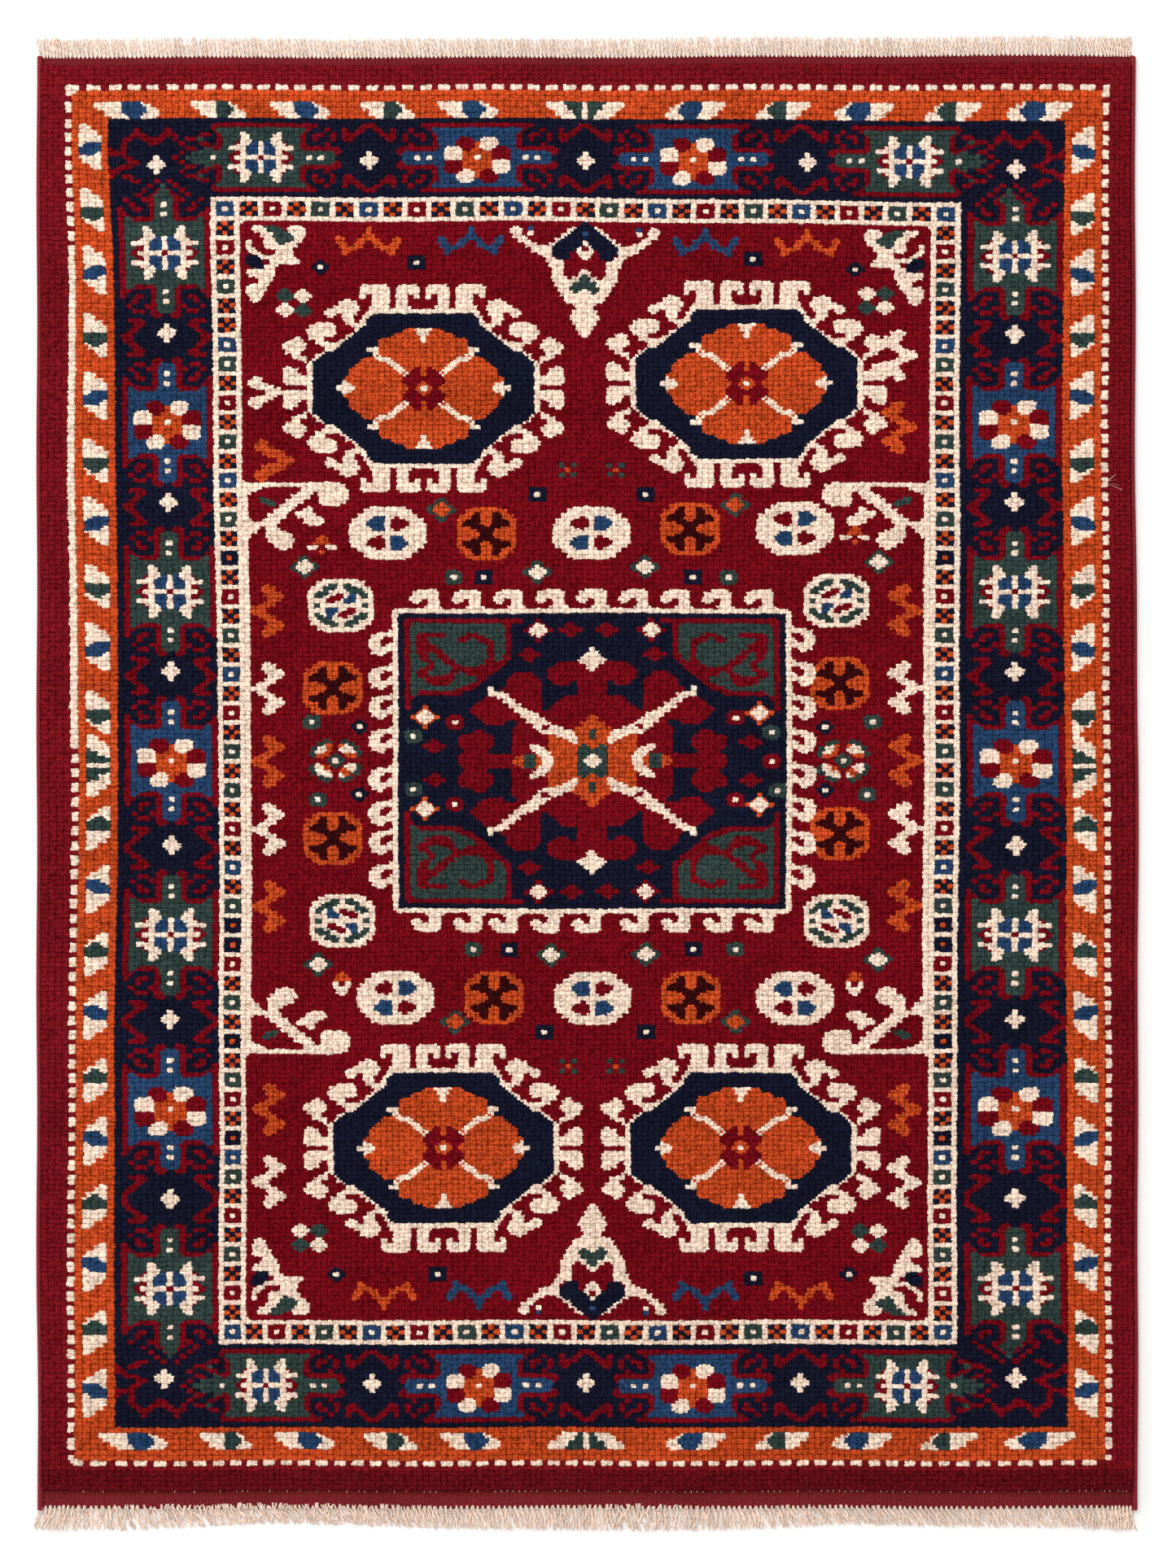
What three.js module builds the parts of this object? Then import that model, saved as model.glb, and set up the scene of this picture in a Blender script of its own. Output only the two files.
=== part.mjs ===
// Hand-knotted wool area rug with four hooked octagons round a hooked square, flat-woven ends, overcast
// sides and short warp fringes. Millimetres, +Z up; X runs across the rug, +Y towards the end with the
// neater, shorter fringe. The origin is at the centre of the rug's footprint, on the floor.
//
// A knotted rug is many thousand short yarns tied on one woven foundation. The pile is divided here where
// the design divides it: the knots of each border side, field compartment and medallion are one solid of
// true outline.
import * as THREE from "three";

// Driving dimensions
const KNOT_WIDTH = 4.98; // pitch of the knots across the field and the two inner borders
const SIDE_KNOT_WIDTH = 6.15; // the warps are set wider under the two outermost bands
const KNOT_LENGTH = 4.04; // pitch of the knot rows along the rug
const FOUNDATION_THICKNESS = 3; // warps, wefts and knot collars together
const PILE_HEIGHT = 6; // cut yarn standing on the foundation
const PILE_GAP = 0.3; // between neighbouring pile sections, and between weaves that meet edge to edge
const SELVEDGE_WIDTH = 4.5;
const SELVEDGE_THICKNESS = 6;
const KILIM_THICKNESS = 2.4;
const KILIM_TOP = 8; // flat weave past the last knot row
const KILIM_BOTTOM = 16;
const FRINGE_TOP = 14;
const FRINGE_BOTTOM = 19;
const FRINGE_THICKNESS = 2;
const FRINGE_HEADER = 2; // strip where the warp bundles are locked together
const BUNDLE_PITCH = 14.4;
const BUNDLE_GAP = 3.4; // between neighbouring bundles

// The design, in knots. Each border band runs all round: its columns at either side, its rows at each end.
const BANDS = [
  { name: "outer", knotWidth: SIDE_KNOT_WIDTH, columns: 4, topRows: 4, bottomRows: 5, yarn: "madder" },
  { name: "guard", knotWidth: SIDE_KNOT_WIDTH, columns: 6, topRows: 6, bottomRows: 7, yarn: "orange" },
  { name: "main_border", knotWidth: KNOT_WIDTH, columns: 16, topRows: 17, bottomRows: 17, yarn: "navy" },
  { name: "inner_guard", knotWidth: KNOT_WIDTH, columns: 5, topRows: 5, bottomRows: 5, yarn: "ivory" },
];
const FIELD_COLUMNS = 115;
const COMPARTMENTS = [
  { name: "field_upper", rows: 55 },
  { name: "field_middle", rows: 115 },
  { name: "field_lower", rows: 57 },
];
// Medallion outlines, and their centres in knots right of and below the middle knot of the field
const OCTAGON = { columns: 37, rows: 33, flatColumns: 15, flatRows: 13 };
const SQUARE = { columns: 67, rows: 63 };
const MEDALLIONS = [
  { name: "octagon_upper_left", outline: octagonOutline, right: -27, down: -79 },
  { name: "octagon_upper_right", outline: octagonOutline, right: 27, down: -80 },
  { name: "octagon_lower_left", outline: octagonOutline, right: -24, down: 78 },
  { name: "octagon_lower_right", outline: octagonOutline, right: 26, down: 78 },
  { name: "centre_square", outline: squareOutline, right: 1, down: -2 },
];

const total = (items, key) => items.reduce((sum, item) => sum + item[key], 0);
const bandWidth = (band) => band.columns * band.knotWidth;
const FIELD_WIDTH = FIELD_COLUMNS * KNOT_WIDTH;
const FIELD_LENGTH = total(COMPARTMENTS, "rows") * KNOT_LENGTH;
const PILE_WIDTH = FIELD_WIDTH + 2 * BANDS.reduce((sum, band) => sum + bandWidth(band), 0);
const TOP_BORDER = total(BANDS, "topRows") * KNOT_LENGTH;
const BOTTOM_BORDER = total(BANDS, "bottomRows") * KNOT_LENGTH;
const PILE_LENGTH = TOP_BORDER + FIELD_LENGTH + BOTTOM_BORDER;
const LENGTH = FRINGE_TOP + KILIM_TOP + PILE_LENGTH + KILIM_BOTTOM + FRINGE_BOTTOM;
const PILE_TOP_Y = LENGTH / 2 - FRINGE_TOP - KILIM_TOP;
const PILE_BOTTOM_Y = PILE_TOP_Y - PILE_LENGTH;
const FIELD_MIDDLE_Y = PILE_TOP_Y - TOP_BORDER - FIELD_LENGTH / 2;

// Yarns: base colour and roughness of each finish
const yarn = (color, roughness) => new THREE.MeshStandardMaterial({ color, roughness, metalness: 0 });
const YARNS = {
  madder: yarn(0x8a1522, 0.92),
  orange: yarn(0xd24f1f, 0.92),
  navy: yarn(0x191b30, 0.92),
  ivory: yarn(0xeacfb6, 0.92),
  warp: yarn(0xead7c4, 0.85),
  weft: yarn(0x84202c, 0.88),
};

const rug = new THREE.Group();

function add(name, geometry, finish) {
  const mesh = new THREE.Mesh(geometry, YARNS[finish]);
  mesh.name = name;
  rug.add(mesh);
  return mesh;
}

// A flat slab from x0 to x1 and y0 to y1, standing from z upwards
function slab(name, finish, [x0, x1], [y0, y1], z, thickness) {
  const mesh = add(name, new THREE.BoxGeometry(x1 - x0, y1 - y0, thickness), finish);
  mesh.position.set((x0 + x1) / 2, (y0 + y1) / 2, z + thickness / 2);
}

// A slab of any outline, which may have holes
function plate(name, finish, outline, z, thickness) {
  const geometry = new THREE.ExtrudeGeometry(outline, { depth: thickness, bevelEnabled: false });
  add(name, geometry, finish).position.z = z;
}

const points = (pairs) => pairs.map(([x, y]) => new THREE.Vector2(x, y));
const inset = ([low, high]) => [low + PILE_GAP / 2, high - PILE_GAP / 2];

function pile(name, finish, across, along) {
  slab(`pile_${name}`, finish, inset(across), inset(along), FOUNDATION_THICKNESS, PILE_HEIGHT);
}

// The four sides of one border band: its ends run the band's full width, and its sides fill in between
function borderBand(band, halfWidth, top, bottom) {
  const side = bandWidth(band);
  const innerTop = top - band.topRows * KNOT_LENGTH;
  const innerBottom = bottom + band.bottomRows * KNOT_LENGTH;
  pile(`${band.name}_top`, band.yarn, [-halfWidth, halfWidth], [innerTop, top]);
  pile(`${band.name}_bottom`, band.yarn, [-halfWidth, halfWidth], [bottom, innerBottom]);
  pile(`${band.name}_left`, band.yarn, [-halfWidth, side - halfWidth], [innerBottom, innerTop]);
  pile(`${band.name}_right`, band.yarn, [halfWidth - side, halfWidth], [innerBottom, innerTop]);
  return [halfWidth - side, innerTop, innerBottom];
}

// Outlines of the two kinds of medallion about their own centre, grown by a margin on every side
function octagonOutline(margin) {
  const x = (OCTAGON.columns * KNOT_WIDTH) / 2 + margin;
  const y = (OCTAGON.rows * KNOT_LENGTH) / 2 + margin;
  const flatX = (OCTAGON.flatColumns * KNOT_WIDTH) / 2;
  const flatY = (OCTAGON.flatRows * KNOT_LENGTH) / 2;
  const upper = [[x, flatY], [flatX, y], [-flatX, y], [-x, flatY]];
  return [...upper, ...upper.map(([dx, dy]) => [-dx, -dy])];
}

function squareOutline(margin) {
  const x = (SQUARE.columns * KNOT_WIDTH) / 2 + margin;
  const y = (SQUARE.rows * KNOT_LENGTH) / 2 + margin;
  return [[x, -y], [x, y], [-x, y], [-x, -y]];
}

function medallionPoints(medallion, margin) {
  const x = medallion.right * KNOT_WIDTH;
  const y = FIELD_MIDDLE_Y - medallion.down * KNOT_LENGTH;
  return points(medallion.outline(margin).map(([dx, dy]) => [x + dx, y + dy]));
}

// One field compartment, with a hole where each of its medallions is knotted
function compartment(name, top, bottom) {
  const [x0, x1] = inset([-FIELD_WIDTH / 2, FIELD_WIDTH / 2]);
  const [y0, y1] = inset([bottom, top]);
  const outline = new THREE.Shape(points([[x0, y0], [x1, y0], [x1, y1], [x0, y1]]));
  for (const medallion of MEDALLIONS) {
    const y = FIELD_MIDDLE_Y - medallion.down * KNOT_LENGTH;
    if (y < top && y > bottom) outline.holes.push(new THREE.Path(medallionPoints(medallion, PILE_GAP / 2)));
  }
  plate(`pile_${name}`, "madder", outline, FOUNDATION_THICKNESS, PILE_HEIGHT);
}

function pileSections() {
  let [halfWidth, top, bottom] = [PILE_WIDTH / 2, PILE_TOP_Y, PILE_BOTTOM_Y];
  for (const band of BANDS) {
    [halfWidth, top, bottom] = borderBand(band, halfWidth, top, bottom);
  }
  for (const { name, rows } of COMPARTMENTS) {
    compartment(name, top, top - rows * KNOT_LENGTH);
    top -= rows * KNOT_LENGTH;
  }
  for (const medallion of MEDALLIONS) {
    const outline = new THREE.Shape(medallionPoints(medallion, -PILE_GAP / 2));
    plate(`pile_${medallion.name}`, "navy", outline, FOUNDATION_THICKNESS, PILE_HEIGHT);
  }
}

// Warps and wefts under the pile, and the flat weave past each end of it
function weaves() {
  const across = [-PILE_WIDTH / 2, PILE_WIDTH / 2];
  slab("foundation_weave", "warp", across, [PILE_BOTTOM_Y, PILE_TOP_Y], 0, FOUNDATION_THICKNESS);
  const topEnd = [PILE_TOP_Y + PILE_GAP, PILE_TOP_Y + KILIM_TOP];
  const bottomEnd = [PILE_BOTTOM_Y - KILIM_BOTTOM, PILE_BOTTOM_Y - PILE_GAP];
  slab("kilim_end_top", "weft", across, topEnd, 0, KILIM_THICKNESS);
  slab("kilim_end_bottom", "weft", across, bottomEnd, 0, KILIM_THICKNESS);
}

// An overcast side cord, as long as the pile and both flat-woven ends, with an eight-sided section
function selvedge(name, side) {
  const length = KILIM_TOP + PILE_LENGTH + KILIM_BOTTOM;
  const [x, z] = [SELVEDGE_WIDTH / 2, SELVEDGE_THICKNESS / 2];
  const corner = 0.41; // a regular octagon's half flat over its half width
  const section = [[x, corner * z], [corner * x, z], [-corner * x, z], [-x, corner * z]];
  const mirrored = section.map(([dx, dz]) => [-dx, -dz]);
  const outline = new THREE.Shape(points([...section, ...mirrored]));
  const bar = new THREE.ExtrudeGeometry(outline, { depth: length, bevelEnabled: false });
  bar.rotateX(Math.PI / 2);
  const mesh = add(name, bar, "weft");
  mesh.position.set(side * (PILE_WIDTH / 2 + PILE_GAP + x), PILE_TOP_Y + KILIM_TOP, z);
}

// A fringe: warp bundles side by side, locked together by a narrow header at the weave
function fringe(name, rootY, direction, length) {
  const count = Math.floor(PILE_WIDTH / BUNDLE_PITCH);
  const x0 = (-count * BUNDLE_PITCH) / 2;
  const start = rootY + direction * PILE_GAP;
  const header = start + direction * FRINGE_HEADER;
  const tip = rootY + direction * length;
  const outline = [[x0, start]];
  for (let i = 0; i < count; i += 1) {
    const left = x0 + i * BUNDLE_PITCH + BUNDLE_GAP / 2;
    const right = left + BUNDLE_PITCH - BUNDLE_GAP;
    outline.push([left, header], [left, tip], [right, tip], [right, header]);
  }
  outline.push([-x0, start]);
  plate(name, "warp", new THREE.Shape(points(outline)), 0, FRINGE_THICKNESS);
}

pileSections();
weaves();
selvedge("selvedge_left", -1);
selvedge("selvedge_right", 1);
fringe("fringe_top", PILE_TOP_Y + KILIM_TOP, 1, FRINGE_TOP);
fringe("fringe_bottom", PILE_BOTTOM_Y - KILIM_BOTTOM, -1, FRINGE_BOTTOM);

export default rug;
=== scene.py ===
import math
import random

import bpy
import numpy as np
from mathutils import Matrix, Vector


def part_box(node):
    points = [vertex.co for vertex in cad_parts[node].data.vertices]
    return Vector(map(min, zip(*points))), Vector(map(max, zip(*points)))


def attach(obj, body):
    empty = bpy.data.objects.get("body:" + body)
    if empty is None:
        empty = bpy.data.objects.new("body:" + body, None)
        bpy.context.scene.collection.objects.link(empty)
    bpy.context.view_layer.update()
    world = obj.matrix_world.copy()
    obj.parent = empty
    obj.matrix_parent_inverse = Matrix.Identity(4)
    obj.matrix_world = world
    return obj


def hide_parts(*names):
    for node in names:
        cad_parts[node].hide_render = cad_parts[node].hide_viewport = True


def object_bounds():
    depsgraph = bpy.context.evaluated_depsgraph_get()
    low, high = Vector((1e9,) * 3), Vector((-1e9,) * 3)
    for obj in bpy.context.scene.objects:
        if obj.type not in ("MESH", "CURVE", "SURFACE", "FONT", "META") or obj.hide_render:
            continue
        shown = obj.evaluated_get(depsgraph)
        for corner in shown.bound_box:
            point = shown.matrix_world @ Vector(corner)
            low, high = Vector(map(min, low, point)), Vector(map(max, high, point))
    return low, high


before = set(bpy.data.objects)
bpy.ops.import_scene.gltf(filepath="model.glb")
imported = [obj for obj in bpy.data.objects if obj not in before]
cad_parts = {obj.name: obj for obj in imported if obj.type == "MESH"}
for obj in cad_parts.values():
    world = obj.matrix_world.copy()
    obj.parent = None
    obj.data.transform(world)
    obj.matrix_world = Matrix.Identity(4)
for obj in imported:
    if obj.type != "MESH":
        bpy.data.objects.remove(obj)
cad_lo, cad_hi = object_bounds()
MM = 0.001

# ---------------------------------------------------------------------------------------------------------
# The studio: a camera straight above the rug, a wide white floor, and soft even light from a large overhead
# panel with a weaker low light from the top left, which draws the creases between the knots.
CAMERA_HEIGHT = 4.0
FLOOR_ABOVE_FRINGE = 0.032  # bare floor shown past the top and bottom fringes
FLOOR_BELOW_FRINGE = 0.028
SENSOR = 36.0

framed_length = cad_hi[1] - cad_lo[1] + FLOOR_ABOVE_FRINGE + FLOOR_BELOW_FRINGE
framed_middle = (cad_hi[1] + FLOOR_ABOVE_FRINGE + cad_lo[1] - FLOOR_BELOW_FRINGE) / 2
camera_data = bpy.data.cameras.new("overhead_camera")
camera_data.sensor_width = SENSOR
camera_data.lens = SENSOR * (CAMERA_HEIGHT - cad_hi[2]) / framed_length
camera_data.clip_end = 50.0
camera = bpy.data.objects.new("overhead_camera", camera_data)
camera.location = (0.0, framed_middle, CAMERA_HEIGHT)
bpy.context.scene.collection.objects.link(camera)
bpy.context.scene.camera = camera
bpy.context.scene.view_settings.view_transform = "Standard"


def in_scene(name, data):
    piece = bpy.data.objects.new(name, data)
    bpy.context.scene.collection.objects.link(piece)
    return piece


def panel_light(name, place, aim, size, power):
    data = bpy.data.lights.new(name, "AREA")
    data.shape = "SQUARE"
    data.size = size
    data.energy = power
    light = in_scene(name, data)
    light.location = place
    light.rotation_euler = (Vector(aim) - Vector(place)).to_track_quat("-Z", "Y").to_euler()


panel_light("overhead_panel", (-0.6, 1.1, 3.3), (0.0, 0.1, 0.0), 2.2, 57.0)
panel_light("low_side_light", (-2.4, 2.2, 1.5), (0.0, 0.0, 0.0), 0.8, 38.0)

world = bpy.data.worlds.new("soft_room")
world.use_nodes = True
world.node_tree.nodes["Background"].inputs["Color"].default_value = (1.0, 0.985, 0.965, 1.0)
world.node_tree.nodes["Background"].inputs["Strength"].default_value = 0.78
bpy.context.scene.world = world

floor_mesh = bpy.data.meshes.new("studio_floor")
FLOOR_HALF = 6.0
floor_mesh.from_pydata(
    [(x * FLOOR_HALF, y * FLOOR_HALF, 0) for x, y in ((-1, -1), (1, -1), (1, 1), (-1, 1))],
    [],
    [(0, 1, 2, 3)],
)
floor = in_scene("studio_floor", floor_mesh)
floor.location.z = -0.0006
floor_paint = bpy.data.materials.new("floor_white")
floor_paint.use_nodes = True
floor_paint.node_tree.nodes["Principled BSDF"].inputs["Base Color"].default_value = (0.93, 0.93, 0.93, 1.0)
floor_paint.node_tree.nodes["Principled BSDF"].inputs["Roughness"].default_value = 0.9
floor_mesh.materials.append(floor_paint)

# ---------------------------------------------------------------------------------------------------------
# The knot plan: which yarn each knot is tied in. A knot's column counts from the middle of the field to the
# right, and its row counts down from the same knot, so the plan reads as the rug does from its top end.
YARN_LETTERS = "RINOGBMWD"  # madder, ivory, navy, orange, green, blue, maroon, wine, dark wine
LEFT_COLUMN, RIGHT_COLUMN = -88, 88
TOP_ROW, BOTTOM_ROW = -145, 147
plan = np.full((BOTTOM_ROW - TOP_ROW + 1, RIGHT_COLUMN - LEFT_COLUMN + 1), "R")


def fill(left, top, right, bottom, yarn):
    """Every knot of a rectangle in one yarn."""
    plan[top - TOP_ROW : bottom - TOP_ROW + 1, left - LEFT_COLUMN : right - LEFT_COLUMN + 1] = yarn


def motif(text):
    """A motif's rows, from one string with spaces or line ends between them."""
    rows = text.split()
    width = max(len(row) for row in rows)
    return [row.ljust(width, ".") for row in rows]


def flip(rows):
    return rows[::-1]


def mirror(rows):
    return [row[::-1] for row in rows]


def turn(rows):
    """Columns for rows, so that a motif for an end border runs along a side border."""
    return ["".join(column) for column in zip(*rows)]


def four_way(rows):
    """A whole motif from its upper left quarter, whose last row and column are the middle ones."""
    half = [row + row[-2::-1] for row in rows]
    return half + half[-2::-1]


def dye(rows, old, new):
    """The same motif with some of its yarns changed for others."""
    return [row.translate(str.maketrans(old, new)) for row in rows]


def stitch(left, top, rows):
    """Ties a motif into the plan with its top left knot at that place. A dot leaves the knot as it is."""
    for down, row in enumerate(rows):
        for right, yarn in enumerate(row):
            if yarn != ".":
                plan[top + down - TOP_ROW, left + right - LEFT_COLUMN] = yarn


def centred(column, row, rows):
    """Ties a motif with its middle knot at that place."""
    stitch(column - len(rows[0]) // 2, row - len(rows) // 2, rows)


def stroke(yarn, thickness, *corners):
    """A line of knots through those corners, that many knots thick."""
    rows, columns = np.mgrid[TOP_ROW : BOTTOM_ROW + 1, LEFT_COLUMN : RIGHT_COLUMN + 1]
    for (x0, y0), (x1, y1) in zip(corners, corners[1:]):
        span = (x1 - x0) ** 2 + (y1 - y0) ** 2
        along_line = np.clip(((columns - x0) * (x1 - x0) + (rows - y0) * (y1 - y0)) / span, 0, 1)
        away = np.hypot(columns - x0 - along_line * (x1 - x0), rows - y0 - along_line * (y1 - y0))
        plan[away <= thickness / 2] = yarn


def scatter(rows, *places):
    for column, row in places:
        centred(column, row, rows)


# ---------------------------------------------------------------------------------------------------------
# Wool yarns: matt, thick and slightly uneven in dye from one batch to the next. Each knot has its own small
# difference in tone, and painted shade darkens its colour towards the root of the knot, where little light
# gets in.
WOOL_COLOURS = {
    "madder": (0.195, 0.0038, 0.0100),
    "ivory": (0.99, 0.77, 0.62),
    "navy": (0.0088, 0.0105, 0.0280),
    "orange": (0.64, 0.080, 0.0175),
    "green": (0.036, 0.062, 0.056),
    "blue": (0.0230, 0.062, 0.150),
    "maroon": (0.044, 0.0035, 0.0050),
    "wine": (0.208, 0.0072, 0.0135),
    "dark_wine": (0.142, 0.0055, 0.0105),
}


class Wire:
    """One output in a material's node tree, on which Python arithmetic adds Math nodes."""

    def __init__(self, paint, socket):
        self.paint = paint
        self.socket = socket

    def math(self, operation, *values):
        return self.paint.node("ShaderNodeMath", {"operation": operation}, *values)

    def __add__(self, other):
        return self.math("ADD", self, other)

    def __sub__(self, other):
        return self.math("SUBTRACT", self, other)

    def __rsub__(self, other):
        return self.math("SUBTRACT", other, self)

    def __mul__(self, other):
        return self.math("MULTIPLY", self, other)

    __radd__ = __add__
    __rmul__ = __mul__


class Paint:
    """A material under construction, with the one method that adds its nodes."""

    def __init__(self, name):
        self.material = bpy.data.materials.new(name)
        self.material.use_nodes = True
        self.tree = self.material.node_tree
        self.shader = self.tree.nodes["Principled BSDF"]

    def plug(self, socket, value):
        if isinstance(value, Wire):
            self.tree.links.new(value.socket, socket)
        elif isinstance(value, tuple) and socket.type == "RGBA":
            socket.default_value = (*value, 1.0)
        else:
            socket.default_value = value

    def node(self, kind, settings, *values, output=0, **named):
        node = self.tree.nodes.new(kind)
        for setting, value in settings.items():
            setattr(node, setting, value)
        for socket, value in zip(node.inputs, values):
            self.plug(socket, value)
        for socket, value in named.items():
            self.plug(node.inputs[socket.replace("_", " ")], value)
        return Wire(self, node.outputs[output])

    def mix(self, factor, first, second, blend="MIX"):
        node = self.tree.nodes.new("ShaderNodeMix")
        node.data_type = "RGBA"
        node.blend_type = blend
        self.plug(node.inputs["Factor"], factor)
        self.plug(node.inputs[6], first)
        self.plug(node.inputs[7], second)
        return Wire(self, node.outputs[2])

    def set(self, **sockets):
        for socket, value in sockets.items():
            self.plug(self.shader.inputs[socket.replace("_", " ")], value)


def grain(paint, scale, detail, stretch=(1.0, 1.0, 1.0)):
    """Cloudy noise over the rug, from 0 to 1, so many clouds to the metre."""
    place = paint.node("ShaderNodeTexCoord", {}, output=3)
    place = paint.node("ShaderNodeVectorMath", {"operation": "MULTIPLY"}, place, stretch)
    return paint.node("ShaderNodeTexNoise", {}, output=0, Vector=place, Scale=scale, Detail=detail)


def wool(name, colour, unevenness, painted_root_shade, patchiness=0.4):
    """One dyed yarn: its tone changes from knot to knot and in bands along the rug, and painted shade darkens
    it down towards the root of each tuft.
    """
    paint = Paint(f"wool_{name}")
    tone = paint.node("ShaderNodeAttribute", {"attribute_name": "tone"}, output=2)
    height = paint.node("ShaderNodeAttribute", {"attribute_name": "height"}, output=2)
    bands = grain(paint, 9.0, 1.0, (0.12, 3.0, 1.0))
    clouds = grain(paint, 14.0, 2.0)
    fibres = grain(paint, 1400.0, 2.0)
    tufts = grain(paint, 520.0, 1.0)
    patches = (bands + clouds - 1) * patchiness
    light = 1 + (tone - 0.5) * (2 * unevenness) + patches + (fibres - 0.5) * 0.7
    light = light + (tufts - 0.5) * 0.7
    shade = paint.node("ShaderNodeCombineColor", {}, light, light, light)
    # Painted shade: the colour goes from the full yarn colour at a tuft's top to a darker crease colour at
    # its root, by the height attribute.
    painted_crease_colour = tuple(painted_root_shade * channel**1.12 for channel in colour)
    depth = paint.mix(height, painted_crease_colour, colour)
    paint.set(Base_Color=paint.mix(1.0, depth, shade, "MULTIPLY"), Roughness=0.95)
    paint.set(Specular_IOR_Level=0.03)
    fibre_height = tufts * 0.9 + fibres * 0.5
    relief = paint.node("ShaderNodeBump", {}, Strength=0.8, Distance=0.0016, Height=fibre_height)
    paint.set(Normal=relief)
    return paint.material


# How dark the painted shade in the creases is for each yarn, as a share of the yarn's own colour.
PAINTED_CREASE_SHADE = {"ivory": 0.42, "orange": 0.2}
PATCHINESS = {"ivory": 0.1}
WOOLS = [
    wool(name, colour, 0.26, PAINTED_CREASE_SHADE.get(name, 0.4), PATCHINESS.get(name, 0.4))
    for name, colour in WOOL_COLOURS.items()
]

# ---------------------------------------------------------------------------------------------------------
# The outer border: plain wine-red pile all round, four or five knots wide, on wider-set warps at the sides.
# Each knot opens into four tufts, which stand on the foundation, round over at the top and meet below.
PILE_GAP = 0.3 * MM
FIELD_COLUMNS = 115
EDGE_COLUMN = 78.5  # past this the warps are set wider
ROWS = BOTTOM_ROW - TOP_ROW + 1

field_lo, field_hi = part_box("pile_field_middle")
outer_lo, outer_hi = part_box("pile_outer_top")
pile_top_y = outer_hi.y + PILE_GAP / 2
pile_bottom_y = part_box("pile_outer_bottom")[0].y - PILE_GAP / 2
pile_z = field_hi.z
knot_width = (field_hi.x - field_lo.x + PILE_GAP) / FIELD_COLUMNS
knot_length = (pile_top_y - pile_bottom_y) / ROWS
side_knot_width = ((outer_hi.x - outer_lo.x + PILE_GAP) / 2 - EDGE_COLUMN * knot_width) / (88.5 - EDGE_COLUMN)

half_width = outer_hi.x
half_length = (pile_top_y - pile_bottom_y) / 2
middle_y = (pile_top_y + pile_bottom_y) / 2


def across(column):
    plain = np.clip(column, -EDGE_COLUMN, EDGE_COLUMN)
    return plain * knot_width + (column - plain) * side_knot_width


def along(row):
    return pile_top_y - (np.asarray(row) - TOP_ROW + 0.5) * knot_length


# How far the weaving has drifted to the right and up the rug, in millimetres. Each line belongs to one place
# across the rug, from -1 at its left edge to 1 at its right edge, and runs along it from bottom to top.
DRIFT_STATIONS = (-0.905, -0.733, -0.39, 0.02, 0.407, 0.749, 0.886)
DRIFT_RIGHT = {
    -1.0: (0.3, -0.7, -0.7, -0.7, -0.7, -0.7, -0.7),
    -0.939: (-4.8, -4.8, -3.5, -0.8, -4.2, -3.5, -6.8),
    -0.864: (-1.6, -1.6, -1.6, 1.7, 0.0, -3.0, -7.0),
    -0.688: (5.1, 5.1, 5.1, 5.1, 1.0, -1.6, -2.3),
    -0.58: (1.0, 1.0, 0.5, 0.5, -1.5, -2.5, -2.7),
    0.58: (-4.0, -3.5, -3.5, -3.0, -3.0, -2.7, -2.0),
    0.688: (-5.7, -5.1, -5.1, -2.8, -2.8, -2.4, -0.7),
    0.864: (6.7, 6.7, 5.7, 5.0, 2.3, 3.0, 4.7),
    0.939: (8.0, 7.0, 7.6, 6.2, 4.9, 4.9, 5.5),
    1.0: (-0.5, -0.5, -0.5, 0.0, -2.6, -2.6, -2.6),
}
RISE_STATIONS = (-1.0, -0.962, -0.918, -0.80, -0.53, 0.0, 0.55, 0.816, 0.932, 0.969, 1.0)
RISE_UP = {
    -0.1: (1.5, 1.4, 5.3, 5.3, 4.5, 2.6, 0.7, -0.3, -3.8, 0.0, 0.0),
    0.75: (1.5, 1.4, 5.3, 5.3, 4.5, 2.6, 0.7, -5.0, -6.2, 0.0, 1.5),
}


def drift(lines, stations, u, v):
    """A drift read off its lines, evenly in between them."""
    places = sorted(lines)
    total = np.interp(v, stations, lines[places[0]])
    for near, far in zip(places, places[1:]):
        share = np.clip((u - near) / (far - near), 0.0, 1.0)
        total = total + share * (np.interp(v, stations, lines[far]) - np.interp(v, stations, lines[near]))
    return total * MM


def woven(x, y):
    """Where a point of the true grid lies in the real weaving, whose lines wander by a few millimetres."""
    u = x / half_width
    v = (y - middle_y) / half_length
    waver = 0.35 * MM * np.sin(17 * v + 3 * u)
    ripple = 0.4 * MM * np.sin(13 * u + 4 * v)
    moved_x = x + drift(DRIFT_RIGHT, DRIFT_STATIONS, u, v) + waver
    moved_y = y + drift(RISE_UP, RISE_STATIONS, u, v) + ripple
    return moved_x, moved_y


TUFT_RING = np.array([(1, 1), (-1, 1), (-1, -1), (1, -1)])
RING = len(TUFT_RING)
ROOT_HALF, SHOULDER_HALF = 0.66, 0.66  # half the tuft at its root and at its shoulder, in pitches
SHOULDER_DROP = {"I": 1.7 * MM, "O": 1.8 * MM}  # from the top of a plump tuft to its shoulder
FINE_DROP = 0.95 * MM  # the same for the finer yarns, whose tufts run together
ROOT_Z = 0.3 * MM
dice = np.random.default_rng(7)


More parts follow.
